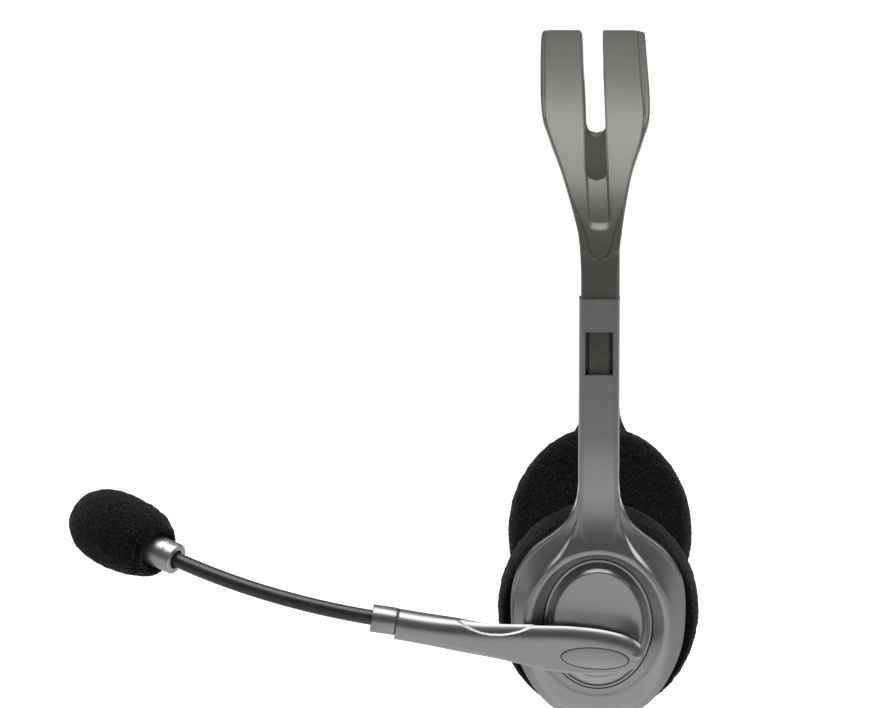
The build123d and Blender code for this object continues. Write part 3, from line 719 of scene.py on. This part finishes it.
def boom_body(name):
    """Both half shells of the boom: a flattened root that becomes round towards the sleeve."""
    fine = [-42 < x < -15 or x > 4 for x in BOOM_TOP[:, 0]]
    keep = [k for k in range(len(BOOM_TOP)) if fine[k] or k % 4 == 0]
    top, low = BOOM_TOP[keep], BOOM_LOW[::3]
    outline = np.vstack([top, low[::-1][1:]])
    mid_x = np.linspace(-55.8, 10, 60)
    mid_y = sum(boom_edges(mid_x)) / 2
    tangent = np.gradient(outline, axis=0)
    tangent /= np.linalg.norm(tangent, axis=1)[:, None]
    rings = []
    for (x, y), upward in zip(outline, tangent[:, 0]):
        spine_x = x if x < 2 else 2 + (x - 2) * 0.45
        spine = np.array([spine_x, float(np.interp(spine_x, mid_x, mid_y))])
        edge = np.array([x, y])
        reach = float(np.linalg.norm(spine - edge))
        toward = (spine - edge) / reach
        round_end = smooth((-x - 22) / 34)
        face, back = BOOM_FACE + 0.5 * round_end, BOOM_BACK
        top_w = smooth((upward + 0.45) / 1.2)
        middle = (face - back) / 2
        first = radians(22) * top_w * (1 - round_end)
        recede = 0.5 * top_w * (1 - round_end)
        roll = 1.4 + 3.2 * top_w
        sink = 1.7 + (middle - 1.8) * top_w
        roll += (reach - roll) * round_end
        sink += (middle - sink) * round_end
        back_roll = 1.1 + (reach - 1.1) * round_end
        back_sink = 1.1 + (middle - 1.1) * round_end
        widest = face - sink * (1 - sin(first))
        roll = min(roll, reach * 0.995)
        back_roll = min(back_roll, reach * 0.995)
        back_away = min(back_roll + recede * (widest - back), reach * 0.99)
        line = [(reach * 0.999, back)]
        line += [(back_away + (reach - back_away) * t, back) for t in (0.6, 0.3)]
        for k in range(7):
            turn = k / 6 * pi / 2
            n = back + back_sink * (1 - cos(turn))
            line.append((min(reach * 0.99, back_roll * (1 - sin(turn)) + recede * (widest - n)), n))
        for k in range(ROLL_STEPS + 1):
            turn = first + k / ROLL_STEPS * (pi / 2 - first)
            line.append((roll * (cos(first) - cos(turn)), face - sink * (1 - sin(turn))))
        roll *= cos(first)
        line += [(roll + (reach - roll) * t, face) for t in (0.15, 0.3, 0.5, 0.7, 0.85, 1.0)]
        ring = []
        for away, n in line:
            q = edge + toward * away
            slanted_y = q[1] - 0.45 * (n - 19.5)
            if n > 15.5 and SCALLOP_START < q[0] < SCALLOP_END:
                curve_y = float(np.interp(q[0], SCALLOP[:, 0], SCALLOP[:, 1]))
                n -= 0.6 * smooth((slanted_y - curve_y) / 0.3) * smooth((n - 15.5) / 1.5)
            ring.append(boom(q[0], q[1], n))
        rings.append(ring)
    count = len(rings[0])
    points = [p for ring in rings for p in ring]
    faces = grid_faces(len(rings), count)
    # The end towards the sleeve is closed with a flat wall.
    last = (len(rings) - 1) * count
    faces.append(tuple(range(count)) + tuple(last + k for k in range(count - 1, -1, -1)))
    return make_mesh(name, points, faces, sharp=34, weld=0.02)


def badge_plug(name, rx, ry, low, high, edge=0.0, count=96):
    """A thin oval plug in the boom's root, turned a little, with a chamfer if an edge is given."""
    turn = radians(5.5)
    loops = []
    levels = [(0, low), (0, high)]
    if edge:
        levels = [(0, low), (0, high - edge), (edge * 0.3, high - edge * 0.3), (edge, high)]
    for inset, n in levels:
        loop = []
        for a in turns(count):
            x, y = (rx - inset) * cos(a), (ry - inset) * sin(a)
            loop.append(boom(x * cos(turn) - y * sin(turn), x * sin(turn) + y * cos(turn), n))
        loops.append(loop)
    return loft(name, loops, sharp=50)


def on_boom_end(a, b, s):
    """A point round the axis of the boom's end."""
    return boom(-s, NECK_OFFSET - SLEEVE_DROP + a, AXIS_N + b)


def sleeve(name):
    """The boom's end sleeve, with a mouth for the gooseneck."""
    profile = rounded_profile([(0, 56.6), (3.1, 56.6), (3.1, 56.12), (3.86, 56.12), (3.86, SLEEVE_END),
                               (2.75, SLEEVE_END), (2.35, 62.2), (2.35, 60.5), (0, 60.5)], 0.22, 3)
    return turned(name, profile[1:-1], on_boom_end, sharp=45)


def joint_ring(name):
    """A black ring in the joint between the boom and its sleeve: painted shade standing in for the shadow in
    the gap.
    """
    return turned(name, [(3.2, 55.3), (3.72, 55.4), (3.72, 56.4), (3.2, 56.5)], on_boom_end, sharp=45)


# ---- Gooseneck and microphone ----
def axis_frame(start, end):
    """Two directions square to a line, and the line's own direction."""
    d = (end - start) / np.linalg.norm(end - start)
    a = np.cross(d, [1.0, 0.0, 0.0])
    a /= np.linalg.norm(a)
    return a, np.cross(d, a), d


PITCH = NECK_LENGTH / 8
NECK_RADIUS = 2.1


def neck_piece(index):
    """One span of the gooseneck's rubber sleeve, from one bend to the next."""
    start = index * PITCH - (3.6 if index == 0 else 0)
    end = (index + 1) * PITCH + (4.8 if index == 7 else 0)
    loops = []
    for s in np.linspace(start, end, 15):
        a, b = axis_frame(neck(s - 0.05), neck(s + 0.05))[:2]
        radius = NECK_RADIUS + 0.012 * sin(s * 5.3)
        centre = neck(s)
        loops.append([tuple(centre + radius * (cos(t) * a + sin(t) * b)) for t in turns(32)])
    return loft(f"gooseneck_sleeve_{index + 1}", loops, caps=(index == 0, index == 7))


MIC_ORIGIN = neck(NECK_LENGTH)
MIC_D = axis_frame(neck(NECK_LENGTH), neck(NECK_LENGTH + 0.1))[2]
MIC_UP = np.array([0, 0, 1.0]) - MIC_D * MIC_D[2]
MIC_UP /= np.linalg.norm(MIC_UP)
MIC_SIDE = np.cross(MIC_D, MIC_UP)


def mic(a, b, along):
    """A point by its place on the microphone: up, sideways, and along from the gooseneck's tip."""
    return tuple(MIC_ORIGIN + a * MIC_UP + b * MIC_SIDE + along * MIC_D)


def collar(name):
    """The metal collar that joins the gooseneck and the windscreen."""
    profile = rounded_profile([(2.35, 3.0), (2.6, 0.25), (2.85, 0), (4.1, 0), (4.4, 0.35), (4.4, 3.2),
                               (4.33, 3.35), (4.4, 3.5), (4.4, 12), (3.3, 12), (3.3, 6), (2.35, 6)], 0.18, 3)
    return turned(name, profile + [profile[0]], mic, count=96, sharp=50)


def roughened(piece, size, shift):
    """Moves every point a little along its normal, so that foam has a lumpy, ragged skin."""
    mesh = piece.data
    normals = [v.normal.copy() for v in mesh.vertices]
    for v, normal in zip(mesh.vertices, normals):
        fine = noise.noise(v.co * 1500 + Vector((shift, 0, 0)))
        broad = noise.noise(v.co * 420 + Vector((0, shift, 0)))
        v.co += normal * (fine * size + broad * size * 0.9) * MM
    mesh.update()
    return piece


def windscreen(name):
    """The foam windscreen, an egg with a rolled lip round the collar."""
    edge = curve_through([(4.6, 4.2), (5.3, 2.4), (6.2, 0.9), (7.2, 0.8), (8.2, 2.4), (9.4, 4.8),
                          (10.4, 9.5), (10.8, 16), (9.85, 22.5), (7.4, 27), (3.9, 29.6), (0.4, 30.35)], 120)
    profile = [(4.45, 10.8), (4.45, 10.0)] + [(r, 5.0 + a) for r, a in edge]
    grip = [(r, a, 0.6 * smooth((a - 5) / 5)) for r, a in profile]
    loops = []
    for row, (radius, along, lift) in enumerate(grip):
        # The lip is pressed back on the outer side.
        press = 2.0 * smooth((row - 1) / 6) * smooth((9.6 - radius) / 1.8) * smooth((16 - along) / 3)
        loops.append([mic(lift + radius * cos(a), radius * sin(a), along + press * max(0.0, -sin(a)))
                      for a in turns(230)])
    return roughened(loft(name, loops, sharp=180, caps=(False, True)), 0.2, 11)


def ear_pad(name):
    """The foam pad, drawn over the edge of the cup shell."""
    rings = [(21.3, 26.4, -0.4, 2.4), (21.6, 26.8, -0.4, 3.9), (22.8, 27.8, -0.3, 4.6), (24.2, 28.8, 0, 5.0),
             (25.3, 29.7, 0, 6.0), (26.2, 30.6, 0, 6.2), (27.1, 31.4, 0, 5.3), (27.8, 32.1, 0, 3.2),
             (28.1, 32.4, 0, 0.4), (27.8, 32.1, 0, -2.2), (26.8, 31.1, 0, -4.2), (25.2, 29.5, 0, -5.5),
             (23.0, 27.3, 0, -6.0), (20.0, 24.2, 0, -5.9), (16.5, 20.2, 0, -5.5), (12.0, 15.0, 0, -5.2),
             (7.0, 9.0, 0, -5.05), (2.5, 3.2, 0, -5.0), (0.3, 0.4, 0, -5.0)]
    path = [tuple(ring) for ring in curve_through(rings, 130)]
    skin = oval_rings(name, path, count=330, sharp=180, caps=(False, True))
    return roughened(skin, 0.22, 5)


def boss(name):
    """The seat of the boom's pivot on the left cup."""
    profile = rounded_profile([(3.3, 10.0), (3.6, 10.0), (3.6, 12.7), (1.8, 12.7), (1.8, 10.5)], 0.15, 3)
    return turned(name, profile, lambda a, b, n: cup(PIVOT_X + a, PIVOT_W + b, n), count=64)


def grommet(name):
    """A ribbed bush for the cord in the lower edge of a cup."""
    profile = rounded_profile([(1.1, 28.7), (2.0, 28.7), (2.0, 32.2), (2.6, 32.2), (2.6, 32.9), (2.3, 33.1),
                               (2.6, 33.3), (2.6, 34.0), (2.3, 34.4), (1.1, 34.4)], 0.15, 3)
    return turned(name, profile + [profile[0]], lambda a, b, s: cup(a, -s, 6.0 + b), count=48, sharp=50)


# ---- Materials ----
ROUGH_SPREAD = 0.06


def material(name, dark, light, scale, roughness, metallic=0.0, bump=0.0, bump_scale=None, detail=3.0,
             sheen=0.0, stretch=None, cells=False, spread=(0.35, 0.65), specular=0.5):
    """A procedural material: a fine noise drives its colour, its roughness and a shallow relief."""
    mat = bpy.data.materials.new(name)
    mat.use_nodes = True
    nodes, links = mat.node_tree.nodes, mat.node_tree.links
    shader = nodes["Principled BSDF"]
    place = nodes.new("ShaderNodeTexCoord")
    source = place.outputs["Object"]
    if stretch:
        mapping = nodes.new("ShaderNodeMapping")
        mapping.inputs["Scale"].default_value = stretch
        links.new(source, mapping.inputs["Vector"])
        source = mapping.outputs["Vector"]
    grain = nodes.new("ShaderNodeTexNoise")
    grain.inputs["Scale"].default_value = scale
    grain.inputs["Detail"].default_value = detail
    grain.inputs["Roughness"].default_value = 0.62
    links.new(source, grain.inputs["Vector"])
    ramp = nodes.new("ShaderNodeValToRGB")
    for stop, position, color in zip(ramp.color_ramp.elements, spread, (dark, light)):
        stop.position = position
        stop.color = (*color, 1)
    links.new(grain.outputs["Fac"], ramp.inputs["Fac"])
    links.new(ramp.outputs["Color"], shader.inputs["Base Color"])
    rough = nodes.new("ShaderNodeMapRange")
    rough.inputs["To Min"].default_value = max(0.02, roughness - ROUGH_SPREAD)
    rough.inputs["To Max"].default_value = min(1.0, roughness + ROUGH_SPREAD)
    links.new(grain.outputs["Fac"], rough.inputs["Value"])
    links.new(rough.outputs["Result"], shader.inputs["Roughness"])
    for socket, value in (("Metallic", metallic), ("Sheen Weight", sheen), ("Specular IOR Level", specular)):
        shader.inputs[socket].default_value = value
    if bump:
        height = grain.outputs["Fac"]
        if cells:
            cell = nodes.new("ShaderNodeTexVoronoi")
            cell.inputs["Scale"].default_value = bump_scale
            links.new(source, cell.inputs["Vector"])
            height = cell.outputs["Distance"]
        elif bump_scale:
            fine = nodes.new("ShaderNodeTexNoise")
            fine.inputs["Scale"].default_value = bump_scale
            fine.inputs["Detail"].default_value = 2.0
            links.new(source, fine.inputs["Vector"])
            height = fine.outputs["Fac"]
        relief = nodes.new("ShaderNodeBump")
        relief.inputs["Strength"].default_value = 1.0
        relief.inputs["Distance"].default_value = bump * MM
        links.new(height, relief.inputs["Height"])
        links.new(relief.outputs["Normal"], shader.inputs["Normal"])
    return mat


silver_paint = material("silver_paint", (0.265, 0.27, 0.265), (0.34, 0.345, 0.335), 3200, 0.31, metallic=0.8,
                        bump=0.003, bump_scale=3800)
band_grey = material("band_grey", (0.107, 0.106, 0.094), (0.138, 0.137, 0.122), 1900, 0.4, metallic=0.25,
                     bump=0.006, bump_scale=3200)
foam_black = material("foam_black", (0.0004, 0.0004, 0.0008), (0.05, 0.05, 0.055), 1700, 0.95, bump=0.35,
                      bump_scale=1700, cells=True, detail=4, spread=(0.52, 0.84), sheen=0.12, specular=0.12)
neck_rubber = material("neck_rubber", (0.02, 0.02, 0.02), (0.034, 0.034, 0.033), 900, 0.3, bump=0.004,
                       bump_scale=2500)
bright_metal = material("bright_metal", (0.5, 0.5, 0.5), (0.66, 0.66, 0.655), 1500, 0.26, metallic=1.0,
                        bump=0.003, bump_scale=3000)
collar_metal = material("collar_metal", (0.36, 0.365, 0.36), (0.47, 0.475, 0.465), 2600, 0.36, metallic=0.85,
                        bump=0.003, bump_scale=3400)
steel = material("steel", (0.2, 0.2, 0.205), (0.32, 0.32, 0.325), 1600, 0.3, metallic=1.0, bump=0.003,
                 stretch=(1, 6, 1))
black_plastic = material("black_plastic", (0.012, 0.012, 0.012), (0.026, 0.026, 0.026), 1400, 0.5,
                         bump=0.008, bump_scale=2600)
magnet_steel = material("magnet_steel", (0.16, 0.16, 0.17), (0.26, 0.26, 0.27), 900, 0.42, metallic=0.9,
                        bump=0.004)
film = material("film", (0.5, 0.47, 0.38), (0.62, 0.58, 0.48), 700, 0.2, bump=0.004)
cloth = material("cloth", (0.01, 0.01, 0.011), (0.07, 0.07, 0.072), 2600, 0.95, bump=0.05, bump_scale=2800,
                 cells=True)
felt = material("felt", (0.03, 0.03, 0.03), (0.16, 0.16, 0.155), 1800, 0.98, bump=0.06, bump_scale=1900,
                sheen=0.3)
board_green = material("board_green", (0.01, 0.09, 0.04), (0.02, 0.15, 0.07), 800, 0.4, bump=0.005)
soft_rubber = material("soft_rubber", (0.014, 0.014, 0.014), (0.03, 0.03, 0.03), 1000, 0.6, bump=0.01,
                       bump_scale=2200)
floor_painted_light = material("floor_painted_light", (0.45, 0.45, 0.45), (0.48, 0.48, 0.48), 3, 0.85)


def dress(piece, mat):
    """Gives the whole piece one material."""
    piece.data.materials.clear()
    piece.data.materials.append(mat)
    for polygon in piece.data.polygons:
        polygon.material_index = 0
    return piece


# ---- Put the pieces together ----
def both_sides(piece, name):
    """Names a left piece and makes its right-hand twin."""
    piece.name = f"left_{name}"
    return piece, mirrored(piece, f"right_{name}")


half_band = joined("half_band", [headband_half("band_skin"), tongue("tongue_skin")])
other_band = mirrored(half_band, "other_band")
for v in other_band.data.vertices:
    height = v.co.z / MM
    v.co.x -= 0.7 * MM * smooth((height - 100) / 15) * (1 - smooth((height - 140) / 16))
headband = joined("headband", [half_band, other_band])
dress(headband, band_grey)
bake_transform(headband)
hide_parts("left_headband_half", "right_headband_half")

left_shell, right_shell = both_sides(arm_shell("arm_shell"), "cup_shell")
left_shell = joined("left_cup_shell_with_boss", [left_shell, boss("boss")])
left_shell.name = "left_cup_shell"
for piece, body in ((left_shell, "left_cup"), (right_shell, "right_cup")):
    dress(piece, silver_paint)
    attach(piece, body)
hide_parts("left_arm_shell")
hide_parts("right_arm_shell")

for make, name, mat, slot_name, node in (
        (trim_disc, "cup_disc", silver_paint, "silver_paint", "trim_disc"),
        (ear_pad, "foam_pad", foam_black, "pad_foam", "ear_pad"),
        (grommet, "cord_bush", soft_rubber, "soft_rubber", "cord_grommet")):
    for piece, side in zip(both_sides(make(name), name), ("left", "right")):
        dress(piece, mat)
        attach(piece, f"{side}_cup")
        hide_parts(f"{side}_{node}")

boom_piece = dress(boom_body("boom_body"), silver_paint)
# The badge and the black ring round it stand a little proud of the boom's face; the black ring is painted
# shade for the groove round the badge.
badge = dress(badge_plug("badge", 9.26, 3.11, 19.7, 20.72, edge=0.1), silver_paint)
badge_shade_ring = dress(badge_plug("badge_shade_ring", 9.6, 3.43, 19.65, 20.64), black_plastic)
# The black ring in the boom's joint is painted shade for the gap.
joint_shade_ring = dress(joint_ring("joint_shade_ring"), black_plastic)
sleeve_piece = dress(sleeve("boom_sleeve"), silver_paint)
for piece, nodes_out in ((boom_piece, ("boom_outer_shell", "boom_inner_shell")), (badge, ("boom_badge",)),
                         (sleeve_piece, ("boom_end_sleeve",))):
    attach(piece, "boom")
    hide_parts(*nodes_out)
# The two black rings, painted shade in the boom's gaps, ride on the boom too.
for piece in (badge_shade_ring, joint_shade_ring):
    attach(piece, "boom")

neck_nodes = [("gooseneck_root",)] + [(f"gooseneck_link_{k}",) for k in range(1, 7)]
neck_nodes.append(("gooseneck_link_7", "gooseneck_tip"))
for index in range(8):
    piece = dress(neck_piece(index), neck_rubber)
    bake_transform(piece)
    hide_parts(*neck_nodes[index])

collar_piece = dress(collar("microphone_collar"), collar_metal)
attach(collar_piece, "microphone")
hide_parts("mic_collar")
foam_piece = dress(windscreen("foam_windscreen"), foam_black)
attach(foam_piece, "microphone")
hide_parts("mic_windscreen")

# The inner pieces keep the frame's own shapes.
carried = {"arm_back_cover": black_plastic, "arm_cover_screw": steel, "detent_spring": steel,
           "baffle": black_plastic, "baffle_screws": steel, "driver_frame": black_plastic,
           "driver_magnet": magnet_steel, "driver_diaphragm": film, "acoustic_cloth": cloth,
           "felt_damper": felt, "terminal_board": board_green}
for node, mat in carried.items():
    for side in ("left", "right"):
        dress(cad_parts[f"{side}_{node}"], mat)
for node, mat in {"boom_pivot_screw": steel, "boom_friction_washer": steel, "capsule_holder": black_plastic,
                  "mic_capsule": bright_metal, "capsule_felt": felt}.items():
    dress(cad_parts[node], mat)


# ---- Camera, floor and light ----
LIT_SPOT = (0, 0, 0.06)
GLOW_FRONT, GLOW_BEHIND = 0.4, 1.0
FLOOR_REACH, FLOOR_TICKS, FLOOR_Z = 12, 91, -160


def aim(obj, spot):
    """Turns a camera or a light towards a spot."""
    obj.rotation_mode = "QUATERNION"
    obj.rotation_quaternion = (Vector(spot) - obj.location).to_track_quat("-Z", "Y")


def direction(azimuth, elevation):
    """The way from the object to a place, by its azimuth from the left side and its elevation."""
    a, e = radians(azimuth), radians(elevation)
    return Vector((sin(a) * cos(e), -cos(a) * cos(e), sin(e)))


def softbox(name, azimuth, elevation, distance, width, height, power):
    """A rectangular area light that faces the object."""
    lamp = bpy.data.lights.new(name, "AREA")
    lamp.shape = "RECTANGLE"
    lamp.size, lamp.size_y = width, height
    lamp.energy = power
    obj = bpy.data.objects.new(name, lamp)
    scene.collection.objects.link(obj)
    obj.location = Vector(LIT_SPOT) + distance * direction(azimuth, elevation)
    aim(obj, LIT_SPOT)


camera = bpy.data.objects.new("camera", bpy.data.cameras.new("camera"))
scene.collection.objects.link(camera)
target = Vector((-0.04664, 0, 0.06336))
camera.location = target + 1.2812 * direction(2.3, 8.32)
aim(camera, target)
camera.data.lens, camera.data.sensor_width = 179.18, 36
camera.data.clip_start, camera.data.clip_end = 0.05, 60
scene.camera = camera

softbox("overhead", 0, 80, 1.1, 1.4, 0.95, 18)
softbox("back", 0, 128, 1.2, 1.5, 0.8, 0.6)
softbox("right", 84, 26, 1.3, 0.4, 0.5, 2.6)
softbox("left", -84, 30, 1.4, 0.35, 0.5, 2.2)


def floor():
    """A wide pale floor whose glow is painted light: bright behind as a backdrop, a painted pool of light
    under the object, painted shade in front and at the sides.
    """
    ticks = np.sinh(np.linspace(-4, 4, FLOOR_TICKS)) / np.sinh(4) * FLOOR_REACH
    points = [(x * 1000, y * 1000, FLOOR_Z) for y in ticks for x in ticks]
    piece = make_mesh("floor", points, grid_faces(FLOOR_TICKS, FLOOR_TICKS))
    glow = piece.data.attributes.new("glow", "FLOAT", "POINT")
    values = []
    for v in piece.data.vertices:
        x, y = v.co.x, v.co.y
        # Painted light: the glow is full behind, dimmed in front of the object and towards the sides as
        # painted shade, and raised in a painted pool of light under the object.
        behind = smooth((y - 0.35) / 0.3)
        sides = (1 - 0.8 * smooth((x - 0.02) / 0.16)) * (1 - 0.6 * smooth((-x - 0.06) / 0.06))
        under = 1 + 1.3 * np.exp(-(x ** 2 + (y + 0.1) ** 2) / (2 * 0.045 ** 2))
        front = GLOW_FRONT * smooth((y + 0.95) / 0.35) * sides * under
        values.append(behind * GLOW_BEHIND + (1 - behind) * (front + 0.02))
    glow.data.foreach_set("value", values)
    return piece


ground = floor()
lit_nodes, lit_links = floor_painted_light.node_tree.nodes, floor_painted_light.node_tree.links
lit = lit_nodes["Principled BSDF"]
lit.inputs["Emission Color"].default_value = (1, 1, 1, 1)
reader = lit_nodes.new("ShaderNodeAttribute")
reader.attribute_name = "glow"
lit_links.new(reader.outputs["Fac"], lit.inputs["Emission Strength"])
dress(ground, floor_painted_light)

world = bpy.data.worlds.new("studio")
scene.world = world
world.use_nodes = True
world_nodes, world_links = world.node_tree.nodes, world.node_tree.links
where = world_nodes.new("ShaderNodeTexCoord")
split = world_nodes.new("ShaderNodeSeparateXYZ")
shade = world_nodes.new("ShaderNodeValToRGB")
for stop, value in zip(shade.color_ramp.elements, (0.2, 0.35)):
    stop.color = (value, value, value, 1)
lift = world_nodes.new("ShaderNodeMapRange")
lift.inputs["From Min"].default_value, lift.inputs["From Max"].default_value = -1, 1
world_links.new(where.outputs["Generated"], split.inputs["Vector"])
world_links.new(split.outputs["Z"], lift.inputs["Value"])
world_links.new(lift.outputs["Result"], shade.inputs["Fac"])
for position, value in ((0.5, 0.05), (0.62, 0.04), (0.85, 0.08)):
    stop = shade.color_ramp.elements.new(position)
    stop.color = (value, value, value, 1)
world_links.new(shade.outputs["Color"], world_nodes["Background"].inputs["Color"])
scene.view_settings.view_transform = "Standard"
